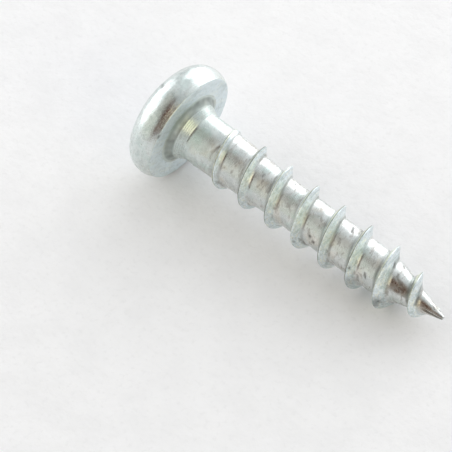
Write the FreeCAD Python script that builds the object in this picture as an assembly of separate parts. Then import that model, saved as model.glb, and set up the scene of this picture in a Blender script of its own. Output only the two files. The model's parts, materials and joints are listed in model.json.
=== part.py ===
"""Pan head chipboard screw with a type Z cross recess, lying on a table as it comes to rest.

The screw is one piece of cold formed steel. It is modelled along its own axis, which is X:
x = 0 is the flat bearing face under the head, the crown is at negative x and the point at
positive x. The last step rolls it, tips it onto the table and moves it to the row's origin.
All sizes are in millimetres.
"""

import FreeCAD
import Part
import math
import os

Vector = FreeCAD.Vector

# Head
head_diameter = 11.9
head_height = 4.34
head_widest_height = 1.26    # height above the bearing face at which the head is widest
head_side_radius = 2.1       # rounding of the head's side, seen in section
head_edge_height = 0.14      # narrow bevel between the side and the bearing face
head_edge_width = 0.25

# Blank: the neck, the tapering start of the core, the core and the point
length = 30.5                # bearing face to point
neck_diameter = 5.0
neck_length = 3.2            # bearing face to where the core starts to taper
neck_cone_diameter = 6.4     # the cone under the head, where it would meet the bearing face
neck_cone_length = 1.5
neck_fillet_radius = 0.9
core_diameter = 4.1
core_taper_length = 8.0
point_length = 7.1
point_shoulder_length = 1.8  # the first, blunter part of the point
point_shoulder_diameter = 3.44
point_end_diameter = 0.35

# Thread
thread_diameter = 5.9
thread_pitch = 3.2
thread_start = 2.4           # bearing face to where the thread rises out of the neck
thread_end_gap = 0.7         # from where the thread sinks into the point to the point's end
thread_crest_width = 0.1
thread_load_flank_deg = 20.0   # flank that faces the head, measured from square to the axis
thread_lead_flank_deg = 32.0   # flank that faces the point
thread_rise_turns = 1.1      # turns over which the thread grows to its full height
thread_fade_turns = 0.4      # turns over which it sinks into the point
thread_taper_length = 5.7    # the crest narrows over this length before the point's end
thread_taper_diameter = 1.2  # diameter that the crest's taper has at the point's end

# Cross recess, type Z
recess_span = 6.6            # across two wings, where they meet the crown
recess_wing_width = 1.38
recess_wing_draft_deg = 1.5
recess_square_side = 2.65
recess_square_draft_deg = 5.75
recess_bottom_diameter = 3.8
recess_end_slope_deg = 26.5  # slope of each wing's outer end, measured from the axis
recess_floor_slope_deg = 20.0
tick_length = 1.45           # the four marks between the wings
tick_depth = 0.24
tick_opening_deg = 80.0

# How it lies on the table
roll_deg = 208.7              # turn about its own axis

# Working values
points_per_piece = 10
root_sink = 0.2              # share of the core's radius that the thread reaches into it
end_sink = 0.12              # how far the thread's crest lies under the surface at its ends
overcut = 1.0                # how far the cutting tools reach out of the head

head_radius = head_diameter / 2
neck_radius = neck_diameter / 2
core_radius = core_diameter / 2
thread_radius = thread_diameter / 2
point_end_radius = point_end_diameter / 2
point_start = length - point_length

# The corners (x, r) of the neck, core and point, from the bearing face to the point's end
blank_corners = [
    (0, neck_cone_diameter / 2),
    (neck_cone_length, neck_radius),
    (neck_length, neck_radius),
    (neck_length + core_taper_length, core_radius),
    (point_start, core_radius),
    (point_start + point_shoulder_length, point_shoulder_diameter / 2),
    (length, point_end_radius),
]

# The side arc's centre, and the crown's radius that makes the two arcs tangent
side_x = -head_widest_height
side_r = head_radius - head_side_radius
rise = head_height - head_widest_height
crown_radius = (rise**2 + side_r**2 - head_side_radius**2) / (2 * (rise - head_side_radius))
crown_x = crown_radius - head_height


def on_profile(x, r):
    """A point of the screw's section, which lies in the XY plane."""
    return Vector(x, r, 0)


def blank_radius(x):
    """Radius of the neck, core or point at x, without the thread."""
    for (start_x, start_r), (end_x, end_r) in zip(blank_corners, blank_corners[1:]):
        if x <= end_x:
            return start_r + (x - start_x) / (end_x - start_x) * (end_r - start_r)
    return point_end_radius


def crown_drop(r):
    """How far the crown's surface lies below its top at radius r."""
    return crown_radius - math.sqrt(crown_radius**2 - r**2)


def neck_fillet():
    """The fillet between the bearing face and the cone under the head, from one end to the other."""
    cone_r = neck_cone_diameter / 2
    slope = math.atan((cone_r - neck_radius) / neck_cone_length)
    centre = on_profile(neck_fillet_radius, cone_r + neck_fillet_radius * math.tan(math.pi / 4 - slope / 2))
    angles = (0, (math.pi / 2 - slope) / 2, math.pi / 2 - slope)
    return [centre - neck_fillet_radius * on_profile(math.cos(angle), math.sin(angle)) for angle in angles]


def make_blank():
    """The head, neck, core and point, as one revolved profile."""
    # the crown meets the side where the line through both arc centres crosses them
    reach = crown_radius / (crown_radius - head_side_radius)
    shoulder = on_profile(crown_x + (side_x - crown_x) * reach, side_r * reach)
    half_crown = math.asin(shoulder.y / crown_radius) / 2
    crown_middle = on_profile(crown_x - crown_radius * math.cos(half_crown),
                              crown_radius * math.sin(half_crown))
    # the side's arc ends at the bevel
    side_drop = side_x + head_edge_height
    side_end = on_profile(-head_edge_height, side_r + math.sqrt(head_side_radius**2 - side_drop**2))
    bearing_edge = on_profile(0, side_end.y - head_edge_width)
    fillet = neck_fillet()

    top = on_profile(-head_height, 0)
    end = on_profile(length, 0)
    edges = [
        Part.Arc(top, crown_middle, shoulder),
        Part.Arc(shoulder, on_profile(side_x, head_radius), side_end),
        Part.LineSegment(side_end, bearing_edge),
        Part.LineSegment(bearing_edge, fillet[0]),
        Part.Arc(*fillet),
    ]
    corners = [fillet[-1]] + [on_profile(x, r) for x, r in blank_corners[1:]] + [end, top]
    edges += [Part.LineSegment(first, last) for first, last in zip(corners, corners[1:])]
    profile = Part.Wire([edge.toShape() for edge in edges])
    return Part.Face(profile).revolve(Vector(0, 0, 0), Vector(1, 0, 0), 360)


thread_turns = (length - thread_end_gap - thread_start) / thread_pitch
thread_pieces = math.ceil(thread_turns)


def sunk_radius(turn):
    """Radius a little under the blank's surface, where the crest begins and ends."""
    surface = blank_radius(thread_start + turn * thread_pitch)
    return surface - end_sink * surface / core_radius


def sharp_radius(turn):
    """Radius that the crest would have if the thread were sharp all the way from its start."""
    left = length - (thread_start + turn * thread_pitch)
    taper = (thread_radius - thread_taper_diameter / 2) / thread_taper_length
    full = min(thread_radius, thread_taper_diameter / 2 + left * taper)
    share = min(1.0, (thread_turns - turn) / thread_fade_turns)
    return sunk_radius(turn) + share * (full - sunk_radius(turn))


def crest_radius(turn):
    """Radius of the thread's crest after so many turns from its start, where it isn't filled out yet."""
    share = min(1.0, turn / thread_rise_turns)
    return sunk_radius(turn) + share * (sharp_radius(turn) - sunk_radius(turn))


def thread_section(turn):
    """The four corners (x, r) of the thread's section: root, crest, crest, root."""
    x = thread_start + turn * thread_pitch
    load_slope = math.tan(math.radians(thread_load_flank_deg))
    lead_slope = math.tan(math.radians(thread_lead_flank_deg))
    half = thread_crest_width / 2
    missing = sharp_radius(turn) - crest_radius(turn)
    height = sharp_radius(turn) - (1 - root_sink) * blank_radius(x)
    back = x - half - height * load_slope
    front = x + half + height * lead_slope
    return [
        (back, (1 - root_sink) * blank_radius(back)),
        (x - half - missing * load_slope, crest_radius(turn)),
        (x + half + missing * lead_slope, crest_radius(turn)),
        (front, (1 - root_sink) * blank_radius(front)),
    ]


def ruled_face(first, second):
    """The face swept by the straight line between two spirals that share their knots."""
    surface = Part.BSplineSurface()
    surface.buildFromPolesMultsKnots([first.getPoles(), second.getPoles()], [2, 2], first.getMultiplicities(),
                                     [0, 1], first.getKnots(), False, False, 1, first.Degree)
    return surface.toShape()


def thread_spirals():
    """The four spiral edges of the thread, each with its number of turns as its parameter."""
    count = thread_pieces * points_per_piece
    turns = [thread_turns * i / count for i in range(count + 1)]
    sections = []
    for turn in turns:
        angle = 2 * math.pi * turn
        sections.append([Vector(x, r * math.cos(angle), r * math.sin(angle)) for x, r in thread_section(turn)])
    spirals = []
    for corner in range(4):
        curve = Part.BSplineCurve()
        curve.interpolate(Points=[section[corner] for section in sections], Parameters=turns)
        spirals.append(curve)
    return spirals


def thread_piece(spirals, first, last):
    """The thread as a closed solid between two numbers of turns."""
    edges = []
    for spiral in spirals:
        edge = spiral.copy()
        edge.segment(first, last)
        edges.append(edge)
    faces = [ruled_face(edges[i], edges[(i + 1) % 4]) for i in range(4)]
    for turn in (first, last):
        corners = [edge.value(turn) for edge in edges]
        faces.append(Part.Face(Part.makePolygon(corners + corners[:1])))
    shell = Part.makeShell(faces)
    shell.sewShape()
    return Part.makeSolid(shell)


def make_thread():
    """The thread in pieces of one turn or less, which join end to end."""
    spirals = thread_spirals()
    cuts = [thread_turns * i / thread_pieces for i in range(thread_pieces + 1)]
    return [thread_piece(spirals, first, last) for first, last in zip(cuts, cuts[1:])]


mouth_x = -head_height + crown_drop(recess_span / 2)
recess_end_slope = math.tan(math.radians(recess_end_slope_deg))
recess_bottom_x = mouth_x + (recess_span - recess_bottom_diameter) / 2 / recess_end_slope
recess_deepest_x = recess_bottom_x + recess_bottom_diameter / 2 * math.tan(math.radians(recess_floor_slope_deg))


def make_envelope():
    """The round outer shape that the recess's wings end on, open at the mouth."""
    outer_x = mouth_x - overcut
    profile = Part.makePolygon([
        on_profile(outer_x, 0),
        on_profile(outer_x, recess_span / 2 + overcut * recess_end_slope),
        on_profile(recess_bottom_x, recess_bottom_diameter / 2),
        on_profile(recess_deepest_x, 0),
        on_profile(outer_x, 0),
    ])
    return Part.Face(profile).revolve(Vector(0, 0, 0), Vector(1, 0, 0), 360)


def tapered_bar(size_y, size_z, draft_y_deg, draft_z_deg):
    """A bar along X that has its full section at the recess's mouth and narrows towards its bottom."""
    rings = []
    for x in (mouth_x - overcut, recess_deepest_x):
        half_y = size_y / 2 - (x - mouth_x) * math.tan(math.radians(draft_y_deg))
        half_z = size_z / 2 - (x - mouth_x) * math.tan(math.radians(draft_z_deg))
        corners = [(-half_y, -half_z), (half_y, -half_z), (half_y, half_z), (-half_y, half_z)]
        rings.append(Part.makePolygon([Vector(x, y, z) for y, z in corners + corners[:1]]))
    return Part.makeLoft(rings, True, True)


def make_recess():
    """The cutting tool for the cross recess: two crossing wings and a tapered square."""
    wing_reach = recess_span + 2 * overcut
    cross = tapered_bar(wing_reach, recess_wing_width, 0, recess_wing_draft_deg).fuse([
        tapered_bar(recess_wing_width, wing_reach, recess_wing_draft_deg, 0),
        tapered_bar(recess_square_side, recess_square_side, recess_square_draft_deg, recess_square_draft_deg),
    ])
    return make_envelope().common(cross)


def make_ticks():
    """The cutting tools for the four marks, each a V groove that runs out towards the rim."""
    inner_r = recess_square_side / math.sqrt(2) - tick_depth
    outer_r = recess_square_side / math.sqrt(2) + tick_length
    inner = Vector(-head_height + crown_drop(inner_r) + tick_depth, inner_r, 0)
    outer = Vector(-head_height + crown_drop(outer_r), outer_r, 0)
    half_width = overcut * math.tan(math.radians(tick_opening_deg / 2))
    triangle = [inner, inner + Vector(-overcut, 0, half_width), inner + Vector(-overcut, 0, -half_width)]
    groove = Part.Face(Part.makePolygon(triangle + triangle[:1])).extrude(outer - inner)
    ticks = []
    for quarter in range(4):
        tick = groove.copy()
        tick.rotate(Vector(0, 0, 0), Vector(1, 0, 0), 45 + 90 * quarter)
        ticks.append(tick)
    return ticks


def rest_tilt_deg():
    """How far the screw tips towards its point when its head and its lowest crest touch the table."""
    tilts = []
    turn = (-90 - roll_deg) % 360 / 360
    while turn < thread_turns:
        run = thread_start + turn * thread_pitch - side_x
        fall = side_r - crest_radius(turn)
        tilts.append(math.atan2(fall, run) + math.asin(head_side_radius / math.hypot(run, fall)))
        turn += 1
    return math.degrees(min(tilts))


def lay_down(screw):
    """Rolls and tips the screw onto the table, with the middle of its box over the origin."""
    screw.rotate(Vector(0, 0, 0), Vector(1, 0, 0), roll_deg)
    screw.rotate(Vector(0, 0, 0), Vector(0, 1, 0), rest_tilt_deg())
    box = screw.optimalBoundingBox(False, False)
    screw.translate(Vector(-box.Center.x, -box.Center.y, -box.ZMin))
    return screw


def make_screw():
    """The whole screw as one solid."""
    body = make_blank().fuse(make_thread())
    body = body.cut([make_recess()] + make_ticks())
    return lay_down(body.Solids[0])


if __name__ == "__main__":
    os.makedirs("parts", exist_ok=True)
    make_screw().exportStep("parts/screw.step")
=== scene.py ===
"""A pan head chipboard screw in bright zinc plate, lying on pale paper.

The screw's mesh is made here from its section, in millimetres along its own axis: x = 0 is the
bearing face under the head, the crown is at negative x and the point at positive x. The mounts in
the record say where that axis lies in the frame.
"""

import json
import math
import random

import bmesh
import bpy
from mathutils import Matrix, Vector, kdtree, noise


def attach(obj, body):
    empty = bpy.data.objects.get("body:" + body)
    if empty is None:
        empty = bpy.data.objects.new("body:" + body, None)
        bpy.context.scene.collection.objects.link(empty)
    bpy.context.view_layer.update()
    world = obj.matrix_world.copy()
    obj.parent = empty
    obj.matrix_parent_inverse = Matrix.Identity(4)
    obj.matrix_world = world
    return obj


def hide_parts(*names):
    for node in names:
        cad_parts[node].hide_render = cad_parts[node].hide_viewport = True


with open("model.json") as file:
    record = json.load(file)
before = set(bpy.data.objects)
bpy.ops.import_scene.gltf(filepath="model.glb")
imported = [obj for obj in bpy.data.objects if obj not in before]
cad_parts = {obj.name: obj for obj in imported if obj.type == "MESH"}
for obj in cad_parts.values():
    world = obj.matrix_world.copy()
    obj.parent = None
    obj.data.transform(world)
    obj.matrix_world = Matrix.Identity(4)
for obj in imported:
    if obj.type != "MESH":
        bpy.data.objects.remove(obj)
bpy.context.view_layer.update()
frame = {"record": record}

MM = 0.001

# Head
HEAD_RADIUS = 5.95
HEAD_HEIGHT = 4.34
HEAD_WIDEST = -1.26            # x at which the head is widest
SIDE_RADIUS = 2.1
SIDE_STOP = math.radians(20)   # slope at which the side's arc ends, to run on straight
EDGE_SLOPE = math.radians(26)  # slope of that straight stretch
EDGE_RADIUS = 0.13

# Cone under the head, neck, core and point
LENGTH = 30.5
NECK_FILLET = 0.9
CORE_RADIUS = 2.05
BLANK = [                      # corners (x, r) of the section
    (0.0, 3.2), (1.5, 2.5), (3.2, 2.5), (11.2, CORE_RADIUS),
    (23.4, CORE_RADIUS), (25.2, 1.72), (LENGTH, 0.175),
]

# Fine rings on the cone under the head
RINGS_START = 0.55
RING_PITCH = 0.18
RING_COUNT = 5
RING_HEIGHT = 0.045
RING_LONG, RING_SHORT = 0.8, 0.2    # shares of the pitch that a ring's two sides take

# Thread
THREAD_RADIUS = 2.95
PITCH = 3.2
THREAD_START = 2.4
THREAD_END = 29.8
TURNS = (THREAD_END - THREAD_START) / PITCH
CREST_HALF = 0.05
CREST_ROUNDING = 0.03
LOAD_FLANK = math.tan(math.radians(20.0))    # towards the head
LEAD_FLANK = math.tan(math.radians(32.0))    # towards the point
LOAD_BLEND = 0.17              # rounding of the root corners
LEAD_BLEND = 0.36
BLEND_SWITCH = 0.2             # width over the crest in which one rounding gives way to the other
RISE_TURNS = 1.1
FADE_TURNS = 0.4
END_SINK = 0.12                # how far the crest lies under the surface at its ends
FULL_HEIGHT = 0.4              # height over the core from which the crest is fully ragged
TAPER_LENGTH = 5.7
TAPER_END_RADIUS = 0.6
ROLL = math.radians(208.7)     # turn of the screw about its own axis

# The open seam along the crest
SEAM_HALF = 0.03
SEAM_DEPTH = 0.05
SEAM_DRIFT = 0.02
CREST_WEAR, CREST_NICKS = 0.012, 0.006    # long and short unevenness of the crest's two lips

# The low ridge beside the thread's first turn, with its reach in turns
RIDGE_START, RIDGE_STOP = 0.7, 1.25
RIDGE_HEIGHT = 0.045
RIDGE_BEHIND, RIDGE_AHEAD = 0.4, 0.24    # widths towards the head and the point
RIDGE_NEAR = 0.15              # its distance from the crest at its start
RIDGE_DRIFT = 0.8              # how much further off it runs, and over how many turns
RIDGE_DRIFT_TURNS = 0.09
RIDGE_RISE, RIDGE_FADE = 0.03, 0.2       # turns over which it rises and fades

# Cross recess, with its four marks
RECESS_REACH = 3.3
WING_HALF = 0.69
WING_DRAFT = math.tan(math.radians(1.5))
SQUARE_HALF = 1.325
SQUARE_DRAFT = math.tan(math.radians(5.75))
END_SLOPE = math.tan(math.radians(26.5))
BOTTOM_RADIUS = 1.9
FLOOR_SLOPE = math.tan(math.radians(20.0))
MOUTH_ROUNDING = 0.07
MOUTH_SHARE = 0.3              # where the ring in the middle of that rounding lies
TICK_INNER = SQUARE_HALF * math.sqrt(2) - 0.24
TICK_OUTER = SQUARE_HALF * math.sqrt(2) + 1.45
TICK_DEPTH = 0.24
TICK_FLANK = math.tan(math.radians(40.0))
CROWN_RING = 3.75              # radius from which the crown's rings are round

# Steps of the mesh
OUTLINE_STEPS = (4, 9, 7)      # an eighth of the recess: wing end, wing side, square side
SEGMENTS = 8 * sum(OUTLINE_STEPS)    # round the axis
FLOOR_SHARES = (0.25, 0.5, 0.75, 0.92)
WALL_STEPS = 10
CROWN_STEPS = 15
DOME_STEPS = 10
SIDE_STEPS = 26
STRAIGHT_SHARES = (0.15, 0.5, 0.85)
EDGE_STEPS = 6
FACE_STEPS = 7
FILLET_STEPS = 12
RING_SHARES = (0.001, 0.4, 0.799, 0.999)
NECK_STEPS = 14
RIBBON_STEPS = (12, 5, 3, 6, 5, 6)   # core, load corner, load flank, crest, lead flank, corner
LOAD_CORNER = 0.12             # how far the two corners reach up their flanks, along the axis
LEAD_CORNER = 0.2
CREST_MARGIN = 0.02
TIP_STEPS = 8
WELD_DISTANCE = 0.0004
DEGENERATE_DISTANCE = 0.0001
SHARP_ANGLE = math.radians(40)
SOLVING_ROUNDS = 4             # rounds that bring a ring of the recess onto its surface

# The crown's arc, tangent to the arc of the side
side_r = HEAD_RADIUS - SIDE_RADIUS
crown_rise = HEAD_HEIGHT + HEAD_WIDEST
crown = (crown_rise**2 + side_r**2 - SIDE_RADIUS**2) / (2 * (crown_rise - SIDE_RADIUS))
crown_centre = crown - HEAD_HEIGHT
crown_reach = crown / (crown - SIDE_RADIUS)
shoulder_x = crown_centre + (HEAD_WIDEST - crown_centre) * crown_reach
shoulder_r = side_r * crown_reach
mouth_x = crown_centre - math.sqrt(crown**2 - RECESS_REACH**2)
bottom_x = mouth_x + (RECESS_REACH - BOTTOM_RADIUS) / END_SLOPE


def clamp(value, low=0.0, high=1.0):
    return min(high, max(low, value))


def bell(distance, width):
    """1 at no distance, falling smoothly to almost nothing at twice the width."""
    return math.exp(-((distance / width) ** 2))


def smooth_max(a, b, reach):
    """The larger of a and b, with a round transition where they differ by less than reach."""
    near = max(reach - abs(a - b), 0.0)
    return max(a, b) + near * near / (4 * reach)


def smooth_min(a, b, reach):
    return -smooth_max(-a, -b, reach)


def wander(along, row):
    """Smooth noise between -1 and 1, different on each row."""
    return noise.noise(Vector((along, row, 0.5)))


def around(x, r, angle):
    """The point at x, at a radius and an angle round the axis."""
    return x, r * math.cos(angle), r * math.sin(angle)


def blank_radius(x):
    """Radius of the neck, core or point without the thread."""
    for (x0, r0), (x1, r1) in zip(BLANK, BLANK[1:]):
        if x <= x1:
            return r0 + (x - x0) / (x1 - x0) * (r1 - r0)
    return BLANK[-1][1]


def crest_x(turn):
    return THREAD_START + turn * PITCH


def sunk_radius(turn):
    """Radius a little under the blank's surface, where the crest begins and ends."""
    surface = blank_radius(crest_x(turn))
    return surface - END_SINK * surface / CORE_RADIUS


def sharp_radius(turn):
    """Radius that the crest would have if the thread were sharp all the way from its start."""
    left = LENGTH - crest_x(turn)
    taper = left * (THREAD_RADIUS - TAPER_END_RADIUS) / TAPER_LENGTH
    full = min(THREAD_RADIUS, TAPER_END_RADIUS + taper)
    share = min(1.0, (TURNS - turn) / FADE_TURNS)
    return sunk_radius(turn) + share * (full - sunk_radius(turn))


def crest_radius(turn):
    """Radius of the thread's crest, which isn't filled out yet where the thread starts."""
    share = min(1.0, turn / RISE_TURNS)
    return sunk_radius(turn) + share * (sharp_radius(turn) - sunk_radius(turn))


def seam_share(turn, off):
    """The open seam along the crest, where the two flanks' metal meets: 1 at its deepest."""
    middle = -SEAM_DRIFT + SEAM_DRIFT * wander(turn * 5, 31.5)
    openness = clamp(0.65 + 0.9 * wander(turn * 3.1, 20.5))
    return openness * bell(off - middle, SEAM_HALF)


def ragged(turn, off):
    """How far the rolled crest falls short of its full radius."""
    lip = 1.0 if off > 0 else 4.0
    worn = CREST_WEAR * (1 + wander(turn * 13, lip))
    worn += CREST_NICKS * (1 + wander(turn * 37, lip + 9))
    return worn + SEAM_DEPTH * seam_share(turn, off)


def nearest_turn(x, angle):
    """The place along the thread, in turns, that is nearest to a point, and how far off it is."""
    phase = angle / math.tau % 1.0
    turn = round((x - THREAD_START) / PITCH - phase) + phase
    return turn, x - THREAD_START - turn * PITCH


def thread_radius(x, angle):
    """Radius of the nearest stretch of thread at a point, or 0 where there is none."""
    best = 0.0
    phase = angle / math.tau
    middle = round((x - THREAD_START) / PITCH - phase)
    for turn in (middle - 1 + phase, middle + phase, middle + 1 + phase):
        if 0 <= turn <= TURNS:
            off = x - THREAD_START - turn * PITCH
            flank = LOAD_FLANK if off < 0 else LEAD_FLANK
            side = sharp_radius(turn) - max(abs(off) - CREST_HALF, 0.0) / flank
            top = crest_radius(turn)
            if abs(off) < 2 * CREST_HALF:
                height = max(0.0, top - blank_radius(x))
                top -= ragged(turn, off) * min(1.0, height / FULL_HEIGHT)
            best = max(best, smooth_min(side, top, CREST_ROUNDING))
    return best


def forming_rings(x):
    """Height of the rings on the cone under the head, each with its long side to the point."""
    if not RINGS_START < x < RINGS_START + RING_COUNT * RING_PITCH:
        return 0.0
    share = (x - RINGS_START) / RING_PITCH % 1.0
    if share < RING_LONG:
        return RING_HEIGHT * (0.5 - share / RING_LONG)
    return RING_HEIGHT * ((share - RING_LONG) / RING_SHORT - 0.5)


def start_ridge(x, angle):
    """Height of the low ridge that the rolling raised beside the thread's first turn."""
    phase = angle / math.tau % 1.0
    turn = phase if phase > 0.5 else phase + 1.0
    if not RIDGE_START < turn < RIDGE_STOP:
        return 0.0
    drift = min(1.0, (turn - RIDGE_START) / RIDGE_DRIFT_TURNS)
    middle = -RIDGE_NEAR - RIDGE_DRIFT * drift
    across = x - THREAD_START - turn * PITCH - middle
    across = across / RIDGE_AHEAD if across > 0 else -across / RIDGE_BEHIND
    fade = min(1.0, (turn - RIDGE_START) / RIDGE_RISE, (RIDGE_STOP - turn) / RIDGE_FADE)
    return RIDGE_HEIGHT * fade * math.cos(min(across, 1.0) * math.pi / 2) ** 2


def surface_radius(x, angle):
    """Radius of the finished neck, thread, core or point."""
    blank = blank_radius(x) + forming_rings(x) + start_ridge(x, angle)
    _, off = nearest_turn(x, angle)
    blend = LOAD_BLEND + (LEAD_BLEND - LOAD_BLEND) * clamp(0.5 + off / BLEND_SWITCH)
    return smooth_max(blank, thread_radius(x, angle), blend)


def head_radius(x):
    """Radius of the head's outside at x."""
    if x > shoulder_x:
        return side_r + math.sqrt(max(SIDE_RADIUS**2 - (x - HEAD_WIDEST) ** 2, 0.0))
    return math.sqrt(max(crown**2 - (crown_centre - x) ** 2, 0.0))


def flank_reach(turn, flank):
    """How far a flank reaches along the axis from the crest's middle to the blank."""
    height = max(sharp_radius(turn) - blank_radius(crest_x(turn)), 0.0)
    return CREST_HALF + height * flank


def ribbon_column(turn):
    """The x of each row of the thread's mesh at one place along the thread."""
    inside = clamp(turn, high=TURNS)

    def front(t):
        t = clamp(t, high=TURNS)
        return crest_x(t) + flank_reach(t, LEAD_FLANK) + LEAD_BLEND

    lower, upper = front(turn - 1), front(turn)
    middle = crest_x(inside)
    back = flank_reach(inside, LOAD_FLANK)
    ahead = flank_reach(inside, LEAD_FLANK)
    marks = [
        middle - back - LOAD_BLEND, middle - back + LOAD_CORNER,
        middle - CREST_HALF - CREST_MARGIN, middle + CREST_HALF + CREST_MARGIN,
        middle + ahead - LEAD_CORNER, upper,
    ]
    xs = [lower]
    x0 = lower
    for x1, count in zip(marks, RIBBON_STEPS):
        xs += [x0 + (x1 - x0) * i / count for i in range(1, count + 1)]
        x0 = x1
    rows = []
    for x in xs:
        x = clamp(x, lower, upper)
        rows.append(max(x, rows[-1]) if rows else x)
    return rows


def circle(x, r):
    """Points round the axis."""
    return [around(x, r, math.tau * i / SEGMENTS) for i in range(SEGMENTS)]


def section(x):
    """Points of the screw's surface at x, between the head and the tip."""
    angles = [math.tau * i / SEGMENTS for i in range(SEGMENTS)]
    return [around(x, surface_radius(x, a), a) for a in angles]


def outline(x, grow):
    """The recess's outline at x: two wings and a square, in as many points as a ring has."""
    reach = RECESS_REACH - (x - mouth_x) * END_SLOPE + grow
    wing = WING_HALF - (x - mouth_x) * WING_DRAFT + grow
    square = SQUARE_HALF - (x - mouth_x) * SQUARE_DRAFT + grow
    wing_end = math.sqrt(reach**2 - wing**2)
    corners = [(reach, 0.0), (wing_end, wing), (square, wing), (square, square)]
    eighth = []
    for (y0, z0), (y1, z1), count in zip(corners, corners[1:], OUTLINE_STEPS):
        eighth += [(y0 + (y1 - y0) * i / count, z0 + (z1 - z0) * i / count) for i in range(count)]
    quarter = eighth + [corners[-1]] + [(z, y) for y, z in reversed(eighth[1:])]
    points = []
    for _ in range(4):
        points += quarter
        quarter = [(-z, y) for y, z in quarter]
    return points


def crown_x(y, z):
    """The crown's surface, with the four V-shaped marks between the wings."""
    along = (abs(y) + abs(z)) / math.sqrt(2)
    off = abs(abs(y) - abs(z)) / math.sqrt(2)
    run_out = min(1.0, (TICK_OUTER - along) / (TICK_OUTER - TICK_INNER))
    depth = TICK_DEPTH * run_out - off / TICK_FLANK
    return crown_centre - math.sqrt(crown**2 - y * y - z * z) + max(depth, 0.0)


def floor_x(y, z):
    """The recess's conical floor."""
    return bottom_x + (BOTTOM_RADIUS - math.hypot(y, z)) * FLOOR_SLOPE


def mouth_ring(grow, depth):
    """A ring that follows the recess's edge on the crown."""
    points = []
    for i in range(SEGMENTS):
        x = mouth_x
        for _ in range(SOLVING_ROUNDS):
            y, z = outline(x, grow)[i]
            x = crown_x(y, z) + depth
        points.append((x, y, z))
    return points


def floor_ring(share):
    """A ring on the recess's floor, at a share of the way from the axis to its wall."""
    points = []
    for i in range(SEGMENTS):
        x = bottom_x
        for _ in range(SOLVING_ROUNDS):
            y, z = outline(x, 0.0)[i]
            x = floor_x(y, z)
        y, z = y * share, z * share
        points.append((floor_x(y, z), y, z))
    return points


def between(first, second, share):
    """A ring at a share of the way from one ring to another."""
    return [tuple(a + (b - a) * share for a, b in zip(p, q)) for p, q in zip(first, second)]


def recess_rings():
    """The rings from the middle of the recess's floor to the rounded edge at its mouth."""
    edge = mouth_ring(0.0, MOUTH_ROUNDING)
    base = floor_ring(1.0)
    rings = [floor_ring(share) for share in FLOOR_SHARES]
    rings += [between(base, edge, i / WALL_STEPS) for i in range(WALL_STEPS + 1)]
    rings.append(mouth_ring(MOUTH_SHARE * MOUTH_ROUNDING, MOUTH_SHARE * MOUTH_ROUNDING))
    rings.append(mouth_ring(MOUTH_ROUNDING, 0.0))
    return rings


def crown_rings(lip):
    """The rings from the recess's mouth over the crown to the side."""
    rings = []
    rim = circle(0.0, CROWN_RING)
    for i in range(1, CROWN_STEPS + 1):
        points = between(lip, rim, i / CROWN_STEPS)
        rings.append([(crown_x(y, z), y, z) for _, y, z in points])
    start = math.asin(CROWN_RING / crown)
    stop = math.asin(shoulder_r / crown)
    for i in range(1, DOME_STEPS + 1):
        a = start + (stop - start) * i / DOME_STEPS
        rings.append(circle(crown_centre - crown * math.cos(a), crown * math.sin(a)))
    return rings


def side_rings():
    """The rings over the head's side and edge and the bearing face to the neck's fillet's end."""
    rings = []
    start = math.atan2(shoulder_x - HEAD_WIDEST, shoulder_r - side_r)
    for i in range(1, SIDE_STEPS + 1):
        a = start + (SIDE_STOP - start) * i / SIDE_STEPS
        r = side_r + SIDE_RADIUS * math.cos(a)
        rings.append(circle(HEAD_WIDEST + SIDE_RADIUS * math.sin(a), r))

    straight_x = HEAD_WIDEST + SIDE_RADIUS * math.sin(SIDE_STOP)
    straight_r = side_r + SIDE_RADIUS * math.cos(SIDE_STOP)
    slope = math.tan(EDGE_SLOPE)
    edge_x = -EDGE_RADIUS + EDGE_RADIUS * math.sin(EDGE_SLOPE)
    edge_r = straight_r - (edge_x - straight_x) * slope - EDGE_RADIUS * math.cos(EDGE_SLOPE)
    for share in STRAIGHT_SHARES:
        x = straight_x + (edge_x - straight_x) * share
        rings.append(circle(x, straight_r - (x - straight_x) * slope))
    for i in range(EDGE_STEPS + 1):
        a = EDGE_SLOPE + (math.pi / 2 - EDGE_SLOPE) * i / EDGE_STEPS
        r = edge_r + EDGE_RADIUS * math.cos(a)
        rings.append(circle(-EDGE_RADIUS + EDGE_RADIUS * math.sin(a), r))

    (_, cone_r), (cone_end, neck_r) = BLANK[:2]
    cone_slope = math.atan2(cone_r - neck_r, cone_end)
    fillet_r = cone_r + NECK_FILLET * math.tan(math.pi / 4 - cone_slope / 2)
    for i in range(1, FACE_STEPS):
        rings.append(circle(0.0, edge_r + (fillet_r - edge_r) * i / FACE_STEPS))
    for i in range(FILLET_STEPS + 1):
        a = (math.pi / 2 - cone_slope) * i / FILLET_STEPS
        r = fillet_r - NECK_FILLET * math.sin(a)
        rings.append(circle(NECK_FILLET - NECK_FILLET * math.cos(a), r))
    return rings


def neck_rings(stop):
    """The rings over the forming rings and the neck, as far as the thread's mesh."""
    rings = []
    for i in range(RING_COUNT):
        start = RINGS_START + i * RING_PITCH
        rings += [section(start + share * RING_PITCH) for share in RING_SHARES]
    start = RINGS_START + RING_COUNT * RING_PITCH
    for i in range(1, NECK_STEPS + 1):
        rings.append(section(start + (stop - start) * i / NECK_STEPS))
    return rings


def add_ring(bm, points):
    return [bm.verts.new(point) for point in points]


def bridge(bm, first, second):
    """Quads between two closed rings of equal count."""
    for i, near in enumerate(first):
        j = (i + 1) % len(first)
        bm.faces.new((near, first[j], second[j], second[i]))


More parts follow.
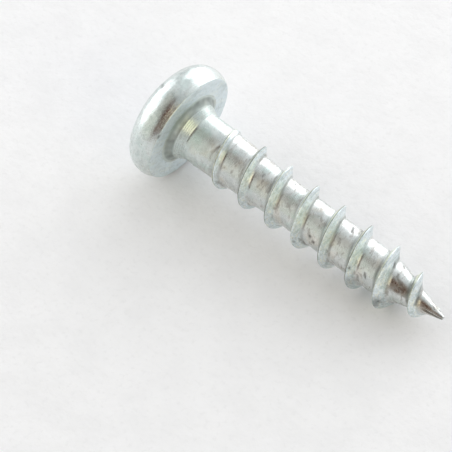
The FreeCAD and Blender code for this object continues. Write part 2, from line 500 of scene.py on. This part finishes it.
def add_head_and_neck(bm):
    recess = recess_rings()
    rings = recess + crown_rings(recess[-1]) + side_rings() + neck_rings(ribbon_column(0.0)[0])
    previous = None
    for points in rings:
        current = add_ring(bm, points)
        if previous:
            bridge(bm, current, previous)
        else:
            deepest = bm.verts.new((floor_x(0, 0), 0, 0))
            for i in range(SEGMENTS):
                bm.faces.new((deepest, current[(i + 1) % SEGMENTS], current[i]))
        previous = current


def add_thread(bm):
    """Adds the thread and the core between its turns as one ribbon, then the end of the point."""
    count = round((TURNS + 1) * SEGMENTS)
    columns = []
    for j in range(count + 1):
        a = math.tau * j / SEGMENTS
        xs = ribbon_column(j / SEGMENTS)
        columns.append(add_ring(bm, [around(x, surface_radius(x, a), a) for x in xs]))
    for near, far in zip(columns, columns[1:]):
        for k in range(len(near) - 1):
            bm.faces.new((near[k], near[k + 1], far[k + 1], far[k]))

    last = columns[-1][-1].co.x
    offset = count % SEGMENTS
    previous = None
    for i in range(TIP_STEPS + 1):
        points = section(last + (LENGTH - last) * i / TIP_STEPS)
        current = add_ring(bm, points[offset:] + points[:offset])
        if previous:
            bridge(bm, current, previous)
        previous = current
    tip = bm.verts.new((LENGTH, 0, 0))
    for i in range(SEGMENTS):
        bm.faces.new((tip, previous[i], previous[(i + 1) % SEGMENTS]))


def make_screw_mesh():
    """The whole screw, closed, on its own axis."""
    bm = bmesh.new()
    add_head_and_neck(bm)
    add_thread(bm)
    bmesh.ops.remove_doubles(bm, verts=bm.verts, dist=WELD_DISTANCE)
    bmesh.ops.dissolve_degenerate(bm, edges=bm.edges, dist=DEGENERATE_DISTANCE)
    bmesh.ops.recalc_face_normals(bm, faces=bm.faces)
    mesh = bpy.data.meshes.new("screw_body")
    bm.to_mesh(mesh)
    bm.free()
    return mesh


# Dents, pits and scratches, with three shallow smudges of painted shade: ends (x, degrees round
# the axis), width, depth, darkness from 0 to 1
MARKS = [
    ((9.38, -107), (9.38, -100), 0.10, 0.03, 0.8),
    ((11.97, -148), (12.05, -144), 0.13, 0.04, 0.9),
    ((16.27, -47.5), (16.29, -46.5), 0.17, 0.06, 1.0),
    ((16.79, -38), (16.80, -37), 0.15, 0.05, 1.0),
    ((21.30, -55), (21.32, -54), 0.12, 0.05, 1.0),
    ((22.62, -58), (22.84, -47), 0.10, 0.05, 1.0),
    ((18.95, -147), (19.22, -127), 0.15, 0.06, 1.0),
    ((24.25, -128), (24.45, -118), 0.14, 0.05, 0.8),
    ((25.10, -112), (25.25, -107), 0.10, 0.03, 0.7),
    ((25.80, -95), (25.90, -90), 0.10, 0.03, 0.6),
    ((15.19, -19), (15.23, -16), 0.10, 0.04, 0.8),
    ((11.25, -78), (11.30, -73), 0.07, 0.03, 0.8),
    ((-2.95, -107), (-2.65, -104), 0.13, 0.09, 1.0),
    ((-0.03, -63), (-0.01, -61), 0.12, 0.04, 0.9),
    ((29.20, -128), (29.50, -104), 0.06, 0.04, 0.9),
    # Painted shade that dims a reflection in the last turn's corner
    ((27.78, -98), (27.92, -62), 0.14, 0.005, 0.75),
    ((25.55, -98), (25.75, -92), 0.10, 0.02, 0.7),
    ((25.20, -104), (25.35, -99), 0.12, 0.03, 0.7),
    # Painted shade on the lower flanks of the last turns
    ((24.10, -30), (24.60, -5), 0.16, 0.01, 0.45),
    ((21.30, -25), (21.60, -10), 0.20, 0.01, 0.35),
]
MORE_MARKS = 46
MARKS_SEED = 11
MARK_STEP = 2                  # degrees between the places along a mark that are pressed in
MARK_REACH = 2.5               # how many widths off a mark still moves the surface

# The two folds at the point
FOLDS = [(-48, 0.0), (-60, 0.13)]    # degrees round the axis, and how much later it starts
FOLD_START = 28.3
FOLD_TWIST = 26                # degrees that a fold turns over the rest of the point
FOLD_LENGTH = 2.2
FOLD_RISE = 0.5
FOLD_DEPTH = 0.08
FOLD_HALF = 0.045

# Painted shade under the head and in the thread's corners
NECK_SHADE_RADIUS = 3.6         # radius on the bearing face at which it begins
NECK_SHADE_LENGTH = 0.95        # how far down the fillet it reaches
NECK_SHADE_RISE, NECK_SHADE_FADE = 0.1, 0.2
LOAD_SHADE, LOAD_SHADE_HALF = 0.12, 0.14    # distance from the flank's foot, and width
LEAD_SHADE, LEAD_SHADE_HALF = 0.02, 0.1

# Painted shade in dark patches, and painted brown reflections, towards the point
SHADE_PATCHES = [(24.95, 0.55), (21.75, 0.3)]    # x and strength
SHADE_PATCH_RADIUS = 2.6
SHADE_PATCH_ANGLE = math.radians(-16)
SHADE_PATCH_WIDTH = 0.85
BROWN_REFLECTIONS = [                     # x, degrees round the axis, half length, half width
    (25.85, -80, 1.0, 0.55),
    (28.2, -74, 0.8, 0.4),
]
REFLECTION_REACH = 1.25             # its edge, as a share of those halves, and how soft it is
REFLECTION_SOFTNESS = 0.5

# What counts as the bearing face: this near to x = 0, and outside this radius
FACE_NEAR = 0.03
FACE_INNER_RADIUS = 3.9

# Unevenness of the whole surface: heights of its long and its short waves
WAVE_LONG, WAVE_SHORT = 0.0045, 0.0028


def wave(p):
    """The slight unevenness of rolled and plated steel, in millimetres."""
    short = noise.noise(p * 2.1 + Vector((7, 3, 1)))
    return WAVE_LONG * noise.noise(p * 0.8) + WAVE_SHORT * short


def towards(p, angle):
    """How far a point lies off the axis towards an angle, and how far to the side of that."""
    out = p.y * math.cos(angle) + p.z * math.sin(angle)
    return out, p.z * math.cos(angle) - p.y * math.sin(angle)


def fold_depth(p):
    """Depth of the two folds that run along the point where the rolls pinched it off."""
    deepest = 0.0
    for start_angle, delay in FOLDS:
        angle = math.radians(start_angle + FOLD_TWIST * (p.x - FOLD_START) / FOLD_LENGTH)
        out, across = towards(p, angle)
        fade = min(1.0, (p.x - FOLD_START - delay) / FOLD_RISE)
        if out > 0 and fade > 0:
            deepest = max(deepest, FOLD_DEPTH * fade * bell(across, FOLD_HALF))
    return deepest


def neck_fillet_shade(p):
    """Painted shade in the fillet under the head."""
    down = p.x + 0.5 * (NECK_SHADE_RADIUS - math.hypot(p.y, p.z))
    near = clamp(down / NECK_SHADE_RISE) * clamp((NECK_SHADE_LENGTH - down) / NECK_SHADE_FADE)
    return near * (0.8 + 0.4 * noise.noise(p * 1.7)) if p.x > -0.01 else 0.0


def recess_shade(p):
    """Painted shade on the walls inside the recess, darker the deeper they lie."""
    r = math.hypot(p.y, p.z)
    if p.x > -1.0 or r > RECESS_REACH:
        return 0.0
    deep = p.x - crown_centre + math.sqrt(crown**2 - r * r)
    return clamp((deep - 0.1) / 0.9, high=0.9)


def thread_corner_shade(turn, off):
    """Painted shade in the corners on both sides of the thread, with gaps on the lead side."""
    load = -flank_reach(turn, LOAD_FLANK) - LOAD_SHADE
    lead = flank_reach(turn, LEAD_FLANK) + LEAD_SHADE
    load_share = clamp(0.8 + 0.7 * wander(turn * 2.3, 50.5), 0.4) * clamp(turn - 0.4, 0.3)
    lead_share = clamp(0.4 + 1.6 * wander(turn * 4.1, 20.5))
    return max(
        bell(off - load, LOAD_SHADE_HALF) * load_share,
        bell(off - lead, LEAD_SHADE_HALF) * lead_share,
    )


def low_turn_shade(p):
    """Painted shade: a dark patch low on the last full turn, with a fainter one on the turn
    before.
    """
    most = 0.0
    for x, strength in SHADE_PATCHES:
        place = Vector(around(x, SHADE_PATCH_RADIUS, SHADE_PATCH_ANGLE))
        near = bell((p - place).length, SHADE_PATCH_WIDTH)
        most = max(most, near * strength * (1.0 + 1.1 * noise.noise(p * 3.1)))
    return min(1.0, most)


def tip_brown_reflection(p):
    """Painted brown reflection in two patches beside the point's last turn."""
    most = 0.0
    for x, degrees, length, width in BROWN_REFLECTIONS:
        out, across = towards(p, math.radians(degrees))
        reach = math.hypot((p.x - x) / length, across / width)
        if out > 0:
            most = max(most, clamp((REFLECTION_REACH - reach) / REFLECTION_SOFTNESS))
    return most


def scattered_marks():
    """More small marks on the side that the photo doesn't show, of the sizes of those it does."""
    draw = random.Random(MARKS_SEED)
    marks = []
    for _ in range(MORE_MARKS):
        x = draw.uniform(-3.6, 28.0)
        angle = draw.uniform(-10, 210)
        end = (x + draw.uniform(-0.1, 0.2), angle + draw.uniform(1, 10))
        width = draw.uniform(0.05, 0.12)
        depth = draw.uniform(0.01, 0.04)
        marks.append(((x, angle), end, width, depth, draw.uniform(0.3, 0.9)))
    return marks


def mark_places(start, end):
    """Places along a mark, on the screw's surface."""
    (x0, a0), (x1, a1) = start, end
    steps = max(2, round(abs(a1 - a0) / MARK_STEP))
    for k in range(steps + 1):
        x = x0 + (x1 - x0) * k / steps
        a = math.radians(a0 + (a1 - a0) * k / steps)
        yield Vector(around(x, surface_radius(x, a) if x > 0 else head_radius(x), a))


def add_wear_and_painted_light(mesh):
    """Uneven surface, dents and the point's folds, with attributes that the material reads: pits,
    painted shade and a painted reflection.
    """
    places = [v.co.copy() for v in mesh.vertices]
    normals = [v.normal.copy() for v in mesh.vertices]
    folds = [fold_depth(p) for p in places]
    sink = [fold - wave(p) for fold, p in zip(folds, places)]
    # Painted shade: the folds are darkened in step with their depth
    dark = [min(1.0, fold / FOLD_DEPTH) for fold in folds]
    rise = [0.0] * len(places)      # height over the blank
    painted_shade = [max(neck_fillet_shade(p), recess_shade(p)) for p in places]
    loaded = [0.0] * len(places)    # 1 on the thread's side towards the head
    brown_reflection = [tip_brown_reflection(p) for p in places]

    for i, p in enumerate(places):
        r = math.hypot(p.y, p.z)
        if p.x > THREAD_START:
            rise[i] = r - blank_radius(p.x)
            turn, off = nearest_turn(p.x, math.atan2(p.z, p.y))
            if 0 < turn < TURNS:
                # Painted shade along the open seam of the crest
                if rise[i] > 0.1:
                    top = min(1.0, (crest_radius(turn) - blank_radius(p.x)) / FULL_HEIGHT)
                    dark[i] = max(dark[i], 0.9 * top * seam_share(turn, off / 1.5))
                loaded[i] = clamp(-off / 0.05)
                painted_shade[i] = thread_corner_shade(turn, off)
                dark[i] = max(dark[i], low_turn_shade(p))
                brown_reflection[i] *= clamp((0.3 - rise[i]) / 0.2)
        # The bearing face counts as flank, so that it takes the flanks' pale colour as painted
        # light
        elif abs(p.x) < FACE_NEAR and r > FACE_INNER_RADIUS:
            rise[i] = 1.0

    tree = kdtree.KDTree(len(places))
    for i, p in enumerate(places):
        tree.insert(p, i)
    tree.balance()
    for start, end, width, depth, tone in MARKS + scattered_marks():
        for middle in mark_places(start, end):
            for _, i, distance in tree.find_range(middle, MARK_REACH * width):
                near = bell(distance, width)
                sink[i] = max(sink[i], depth * near - wave(places[i]))
                dark[i] = max(dark[i], tone * near)

    for v, p, normal, depth in zip(mesh.vertices, places, normals, sink):
        v.co = p - normal * depth
    layers = {"pits_and_painted_shade": dark, "rise": rise, "painted_shade": painted_shade, "loaded": loaded, "brown_reflection": brown_reflection}
    for name, values in layers.items():
        mesh.attributes.new(name, "FLOAT", "POINT").data.foreach_set("value", values)


def keep_local(mesh):
    """Keeps each vertex's place on the screw's own axis, in millimetres, for the material."""
    local = mesh.attributes.new("local", "FLOAT_VECTOR", "POINT")
    flat = [0.0] * (3 * len(mesh.vertices))
    mesh.vertices.foreach_get("co", flat)
    local.data.foreach_set("vector", flat)


def placement():
    """Matrix from the screw's own axis to the frame, worked out from the record's mounts."""
    mounts = {m["name"]: m for m in frame["record"]["mounts"]}
    axis = Vector(mounts["thread"]["axis"]).normalized()
    on_axis = Vector(mounts["thread"]["pos_m"])
    on_face = Vector(mounts["bearing_face"]["pos_m"])
    origin = on_axis + axis * (on_face - on_axis).dot(axis)
    y = Vector((0, 0, 1)).cross(axis).normalized()
    z = axis.cross(y)
    basis = Matrix((axis, y, z)).transposed().to_4x4()
    return Matrix.Translation(origin) @ basis @ Matrix.Rotation(ROLL, 4, "X")


class Nodes:
    """Short ways to add nodes to a material or a world."""

    def __init__(self, owner):
        owner.use_nodes = True
        self.tree = owner.node_tree

    def add(self, kind, inputs, **settings):
        item = self.tree.nodes.new(kind)
        for name, value in settings.items():
            setattr(item, name, value)
        for key, value in inputs.items():
            if isinstance(value, bpy.types.NodeSocket):
                self.tree.links.new(value, item.inputs[key])
            else:
                item.inputs[key].default_value = value
        return item

    def link(self, value, node, name):
        self.tree.links.new(value, self.tree.nodes[node].inputs[name])

    def attribute(self, name, output="Fac"):
        return self.add("ShaderNodeAttribute", {}, attribute_name=name).outputs[output]

    def math(self, operation, a, b=0.0):
        return self.add("ShaderNodeMath", {0: a, 1: b}, operation=operation).outputs[0]

    def plus(self, a, b):
        return self.math("ADD", a, b)

    def times(self, a, b):
        return self.math("MULTIPLY", a, b)

    def split(self, vector):
        return self.add("ShaderNodeSeparateXYZ", {0: vector}).outputs

    def shift(self, vector, by):
        return self.add("ShaderNodeVectorMath", {0: vector, 1: by}, operation="ADD").outputs[0]

    def dot(self, a, b):
        item = self.add("ShaderNodeVectorMath", {0: a, 1: b}, operation="DOT_PRODUCT")
        return item.outputs["Value"]

    def noise(self, place, scale, detail, rough):
        inputs = {"Vector": place, "Scale": scale, "Detail": detail, "Roughness": rough}
        return self.add("ShaderNodeTexNoise", inputs).outputs["Fac"]

    def ramp(self, value, low, high, to_low=0.0, to_high=1.0):
        """A smooth step from one value to another while the input goes from low to high."""
        inputs = {"Value": value, "From Min": low, "From Max": high,
                  "To Min": to_low, "To Max": to_high}
        item = self.add("ShaderNodeMapRange", inputs, interpolation_type="SMOOTHSTEP")
        return item.outputs["Result"]

    def mix(self, share, first, second):
        inputs = {0: share, 6: first, 7: second}
        return self.add("ShaderNodeMix", inputs, data_type="RGBA").outputs[2]

    def bump(self, height, distance, strength, normal=None):
        inputs = {"Height": height, "Distance": distance, "Strength": strength}
        if normal is not None:
            inputs["Normal"] = normal
        return self.add("ShaderNodeBump", inputs).outputs["Normal"]


def helix_place(nodes, local, rows, along):
    """Coordinates for noise drawn out along the thread: rows per pitch, steps per mm along it."""
    x, y, z = nodes.split(local)
    radius = nodes.math("SQRT", nodes.plus(nodes.times(y, y), nodes.times(z, z)))
    radius = nodes.math("MAXIMUM", radius, 0.05)
    phase = nodes.times(x, math.tau / PITCH)
    sine, cosine = nodes.math("SINE", phase), nodes.math("COSINE", phase)
    y1, z1 = nodes.math("DIVIDE", y, radius), nodes.math("DIVIDE", z, radius)
    first = nodes.plus(nodes.times(cosine, y1), nodes.times(sine, z1))
    second = nodes.math("SUBTRACT", nodes.times(sine, y1), nodes.times(cosine, z1))
    third = nodes.plus(nodes.times(y, along), nodes.times(x, 0.37 * along))
    third = nodes.plus(third, nodes.times(z, 0.61 * along))
    size = rows / math.tau
    inputs = {0: nodes.times(first, size), 1: nodes.times(second, size), 2: third}
    return nodes.add("ShaderNodeCombineXYZ", inputs).outputs[0]


# Colours of the zinc
ZINC_DULL = (0.615, 0.645, 0.635, 1)
ZINC_BRIGHT = (0.74, 0.76, 0.75, 1)
TEAL_TINT = (0.54, 0.67, 0.635, 1)
STRAW_TINT = (0.72, 0.67, 0.58, 1)
NECK_GREEN_REFLECTION = (0.56, 0.69, 0.65, 1)
FLANK_PALE = (0.84, 0.925, 0.975, 1)
FLANK_LOADED = (0.96, 0.975, 0.79, 1)
FLANK_PATCH = (0.46, 0.51, 0.50, 1)
FLANK_GRAIN = (0.46, 0.50, 0.46, 1)
STROKE_LIGHT = (0.99, 0.985, 0.83, 1)
STROKE_DEEP = (0.48, 0.59, 0.57, 1)
HEAD_PALE = (0.87, 0.895, 0.895, 1)
HEAD_PATCH = (0.47, 0.54, 0.53, 1)
CRYSTAL_LIGHT = (0.86, 0.88, 0.86, 1)
CRYSTAL_DARK = (0.42, 0.44, 0.42, 1)
GRIME = (0.29, 0.26, 0.235, 1)
SPECK = (0.22, 0.22, 0.21, 1)
REFLECTION_BROWN = (0.38, 0.32, 0.265, 1)
REFLECTION_FLECK = (0.80, 0.78, 0.72, 1)
SHADE_GREY = (0.22, 0.245, 0.23, 1)
PIT_AND_SHADE = (0.09, 0.085, 0.08, 1)


def zinc_material():
    """Bright zinc plate: cloudy grey metal with faint tints, fine rolling lines, and dark pits;
    with painted shade in corners, folds and patches, and painted reflections on the neck and by
    the point.
    """
    material = bpy.data.materials.new("zinc_plate")
    nodes = Nodes(material)
    ramp, times = nodes.ramp, nodes.times
    local = nodes.attribute("local", "Vector")
    pits_and_painted_shade, rise, painted_shade = nodes.attribute("pits_and_painted_shade"), nodes.attribute("rise"), nodes.attribute("painted_shade")
    loaded, brown_reflection = nodes.attribute("loaded"), nodes.attribute("brown_reflection")
    along = nodes.split(local)[0]

    # Where a surface lies: the thread's flanks, with the bearing face; that face; the head
    flank = ramp(rise, 0.05, 0.3)
    on_face = times(ramp(along, -0.08, -0.02), ramp(along, 0.06, 0.02))
    on_thread = times(flank, ramp(on_face, 0.0, 1.0, 1.0, 0.3))
    on_head = ramp(along, -0.3, -0.9)

    # Noise, in steps per millimetre, then drawn out along the thread
    cloud = nodes.noise(local, 0.9, 3.0, 0.55)
    tint = nodes.noise(nodes.shift(local, (13.0, 5.0, 9.0)), 0.55, 2.0, 0.5)
    fine = nodes.noise(local, 7.0, 4.0, 0.7)
    crystal = nodes.noise(nodes.shift(local, (3.0, 8.0, 2.0)), 3.6, 5.0, 0.75)
    patches = nodes.noise(nodes.shift(local, (5.0, 2.0, 7.0)), 1.7, 5.0, 0.7)
    mottle = nodes.noise(nodes.shift(local, (1.0, 6.0, 4.0)), 4.2, 4.0, 0.75)
    rolled = nodes.noise(helix_place(nodes, local, 10.0, 1.3), 1.0, 4.0, 0.65)
    drawn = nodes.noise(helix_place(nodes, local, 42.0, 1.1), 1.0, 2.0, 0.6)
    strokes = nodes.noise(helix_place(nodes, local, 26.0, 1.9), 1.0, 3.0, 0.6)

    grain = times(ramp(mottle, 0.53, 0.44), times(flank, 0.32))
    grime = times(ramp(rolled, 0.48, 0.62), ramp(cloud, 0.38, 0.56))
    grime = times(grime, ramp(along, 3.0, 6.0, 0.3, 1.0))
    grime = times(grime, ramp(rise, 0.5, 0.1))

    colour = nodes.mix(ramp(cloud, 0.35, 0.65), ZINC_DULL, ZINC_BRIGHT)
    layers = [
        (ramp(tint, 0.54, 0.70, 0.0, 0.5), TEAL_TINT),
        (ramp(tint, 0.46, 0.34, 0.0, 0.45), STRAW_TINT),
        # Painted reflection: a green tint on the neck
        (ramp(along, 5.5, 1.0, 0.0, 0.4), NECK_GREEN_REFLECTION),
        # Paler flanks; on the bearing face this paler colour is painted light
        (times(flank, 0.85), FLANK_PALE),
        (times(flank, loaded), FLANK_LOADED),
        (ramp(along, 0.2, -0.4, 0.0, 0.35), HEAD_PALE),
        (times(ramp(patches, 0.50, 0.62), times(flank, 0.25)), FLANK_PATCH),
        (times(ramp(strokes, 0.53, 0.61), times(on_thread, 0.45)), STROKE_LIGHT),
        (times(ramp(strokes, 0.48, 0.38), times(on_thread, 0.55)), STROKE_DEEP),
        (times(ramp(patches, 0.46, 0.60), times(on_head, 0.45)), HEAD_PATCH),
        (times(grain, ramp(on_face, 0.0, 1.0, 1.0, 0.25)), FLANK_GRAIN),
        (ramp(crystal, 0.56, 0.72, 0.0, 0.6), CRYSTAL_LIGHT),
        (ramp(crystal, 0.44, 0.30, 0.0, 0.6), CRYSTAL_DARK),
        (times(grime, 0.55), GRIME),
        (times(ramp(fine, 0.64, 0.71), 0.6), SPECK),
        # Painted reflection: brown patches by the point, with light flecks
        (times(brown_reflection, ramp(crystal, 0.38, 0.56, 0.1, 0.75)), REFLECTION_BROWN),
        (times(times(brown_reflection, ramp(fine, 0.53, 0.60)), 0.7), REFLECTION_FLECK),
        # Painted shade: darker grey under the head, inside the recess and in the thread's corners
        (times(painted_shade, 0.7), SHADE_GREY),
        # Dark pits and marks, with painted shade in the folds, along the crest's seam, in patches
        # on the last turns and in three smudges
        (times(pits_and_painted_shade, 0.85), PIT_AND_SHADE),
    ]
    for share, tone in layers:
        colour = nodes.mix(share, colour, tone)
    nodes.link(colour, "Principled BSDF", "Base Color")

    rough = ramp(cloud, 0.3, 0.7, 0.23, 0.33)
    for more in (
        times(flank, 0.10),
        ramp(along, 0.2, -0.4, 0.0, -0.05),
        times(nodes.math("SUBTRACT", drawn, 0.5), 0.2),
        times(nodes.math("MAXIMUM", pits_and_painted_shade, painted_shade), 0.25),
        times(grime, 0.15),
        times(on_face, 0.2),
    ):
        rough = nodes.plus(rough, more)
    nodes.link(rough, "Principled BSDF", "Roughness")

    normal = nodes.bump(nodes.plus(times(rolled, 0.7), times(drawn, 0.3)), 0.014 * MM, 1.0)
    normal = nodes.bump(crystal, ramp(flank, 0.0, 1.0, 0.012 * MM, 0.022 * MM), 1.0, normal)
    normal = nodes.bump(fine, 0.005 * MM, 1.0, normal)
    nodes.link(normal, "Principled BSDF", "Normal")
    nodes.tree.nodes["Principled BSDF"].inputs["Metallic"].default_value = 1.0
    return material


# Paper
PAPER_LOW = (0.921, 0.912, 0.933, 1)
PAPER_HIGH = (0.962, 0.953, 0.974, 1)
PAPER_TOOTH = (0.878, 0.87, 0.89, 1)
PAPER_SIZE = 4.0
PAPER_RELIEF = 0.00006


def paper_material():
    """Smooth white paper with a faint tooth and slightly uneven tone."""
    material = bpy.data.materials.new("paper")
    nodes = Nodes(material)
    place = nodes.add("ShaderNodeTexCoord", {}).outputs["Object"]
    tone = nodes.noise(place, 260.0, 4.0, 0.6)
    patch = nodes.noise(place, 45.0, 2.0, 0.5)
    tooth = nodes.noise(place, 1900.0, 4.0, 0.65)
    relief = nodes.noise(place, 900.0, 3.0, 0.6)
    colour = nodes.mix(nodes.ramp(tone, 0.3, 0.7), PAPER_LOW, PAPER_HIGH)
    colour = nodes.mix(nodes.ramp(patch, 0.3, 0.7, 0.0, 0.25), colour, PAPER_LOW)
    colour = nodes.mix(nodes.ramp(tooth, 0.52, 0.68, 0.0, 0.6), colour, PAPER_TOOTH)
    nodes.link(colour, "Principled BSDF", "Base Color")
    nodes.link(nodes.bump(relief, PAPER_RELIEF, 0.8), "Principled BSDF", "Normal")
    nodes.tree.nodes["Principled BSDF"].inputs["Roughness"].default_value = 0.5
    return material


def add_object(name, data):
    item = bpy.data.objects.new(name, data)
    bpy.context.collection.objects.link(item)
    return item


screw = add_object("screw_body", make_screw_mesh())
add_wear_and_painted_light(screw.data)
keep_local(screw.data)
screw.data.transform(placement() @ Matrix.Scale(MM, 4))
screw.data.polygons.foreach_set("use_smooth", [True] * len(screw.data.polygons))
screw.data.set_sharp_from_angle(angle=SHARP_ANGLE)
screw.data.materials.append(zinc_material())
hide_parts("screw")
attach(screw, "root")

bpy.ops.mesh.primitive_plane_add(size=PAPER_SIZE)
floor = bpy.context.object
floor.name = "paper_floor"
floor.data.materials.append(paper_material())

# Camera
CAMERA_AT = Vector((91.474, -117.030, 181.035)) * MM
CAMERA_FORWARD = Vector((-0.41372, 0.48471, -0.77065))
SENSOR_WIDTH = 36.0            # in millimetres
FOCAL_PIXELS = 2500.0          # focal length and width of the photo, in its pixels
PHOTO_PIXELS = 452.0

# Light: a plain room with lighter and darker patches that the zinc reflects, and two soft boxes
ROOM = (0.56, 0.575, 0.585, 1)
LOBES = [
    # azimuth, elevation, radius, soft edge, all in degrees, colour
    (0, 90, 20, 30, (0.49, 0.51, 0.51, 1)),
    (300, -20, 50, 40, (0.52, 0.56, 0.575, 1)),
    (240, 60, 16, 22, (0.56, 0.55, 0.50, 1)),
    (95, 30, 35, 35, (0.86, 0.89, 0.90, 1)),
    (205, 10, 25, 35, (0.86, 0.89, 0.90, 1)),
    (252, 16, 20, 24, (0.80, 0.81, 0.74, 1)),
    (310, 66, 8, 12, (0.20, 0.16, 0.14, 1)),
    (290, 12, 7, 10, (0.18, 0.12, 0.10, 1)),
    (304, 42, 12, 11, (0.14, 0.092, 0.072, 1)),
    (308, 18, 8, 9, (0.24, 0.18, 0.15, 1)),
    (324, 44, 9, 8, (0.17, 0.09, 0.075, 1)),
    (348, 23, 14, 10, (1.38, 1.29, 0.92, 1)),
    (332, 24, 7, 6, (1.55, 1.40, 1.10, 1)),
]
SOFTBOXES = [
    # name, azimuth in degrees, width, height, radiance
    ("softbox_back", 95, 0.46, 0.34, 2.45),
    ("softbox_left", 187, 0.46, 0.36, 1.75),
]
LAYERS = (0.6, 0.87, 1.13, 1.4)    # each box is lamps of these sizes, in a row, for a soft edge
LAYER_GAP = 0.002
BOX_DISTANCE = 0.42
BOX_LIFT = 0.005               # of each lamp's lower edge, over the floor
BOX_COLOUR = (0.97, 0.985, 1.0)


def direction(azimuth, elevation):
    """Unit vector towards an azimuth and elevation in degrees."""
    a, e = math.radians(azimuth), math.radians(elevation)
    return Vector((math.cos(a) * math.cos(e), math.sin(a) * math.cos(e), math.sin(e)))


def add_camera():
    data = bpy.data.cameras.new("camera")
    data.sensor_width = SENSOR_WIDTH
    data.lens = FOCAL_PIXELS / PHOTO_PIXELS * SENSOR_WIDTH
    data.clip_start = 0.01
    camera = add_object("camera", data)
    camera.location = CAMERA_AT
    camera.rotation_euler = CAMERA_FORWARD.to_track_quat("-Z", "Y").to_euler()
    bpy.context.scene.camera = camera


def add_room():
    """The world's light, with each lobe painted over those before it."""
    world = bpy.data.worlds.new("studio")
    bpy.context.scene.world = world
    nodes = Nodes(world)
    looking = nodes.add("ShaderNodeTexCoord", {}).outputs["Generated"]
    colour = ROOM
    for azimuth, elevation, radius, soft, tone in LOBES:
        nearness = nodes.dot(looking, direction(azimuth, elevation))
        outer, inner = math.cos(math.radians(radius + soft)), math.cos(math.radians(radius))
        colour = nodes.mix(nodes.ramp(nearness, outer, inner), colour, tone)
    nodes.link(colour, "Background", "Color")


def add_softbox(name, azimuth, width, height, radiance):
    for number, share in enumerate(LAYERS):
        lamp = bpy.data.lights.new("%s_%d" % (name, number), "AREA")
        lamp.shape = "RECTANGLE"
        lamp.size, lamp.size_y = share * width, share * height
        lamp.energy = radiance / len(LAYERS) * math.pi * lamp.size * lamp.size_y
        lamp.color = BOX_COLOUR
        box = add_object(lamp.name, lamp)
        distance = BOX_DISTANCE + LAYER_GAP * number
        box.location = direction(azimuth, 0) * distance
        box.location.z += lamp.size_y / 2 + BOX_LIFT
        box.rotation_euler = (-direction(azimuth, 0)).to_track_quat("-Z", "Y").to_euler()
        box.visible_camera = False


add_camera()
add_room()
for softbox in SOFTBOXES:
    add_softbox(*softbox)
bpy.context.scene.view_settings.view_transform = "Standard"

bpy.context.view_layer.update()
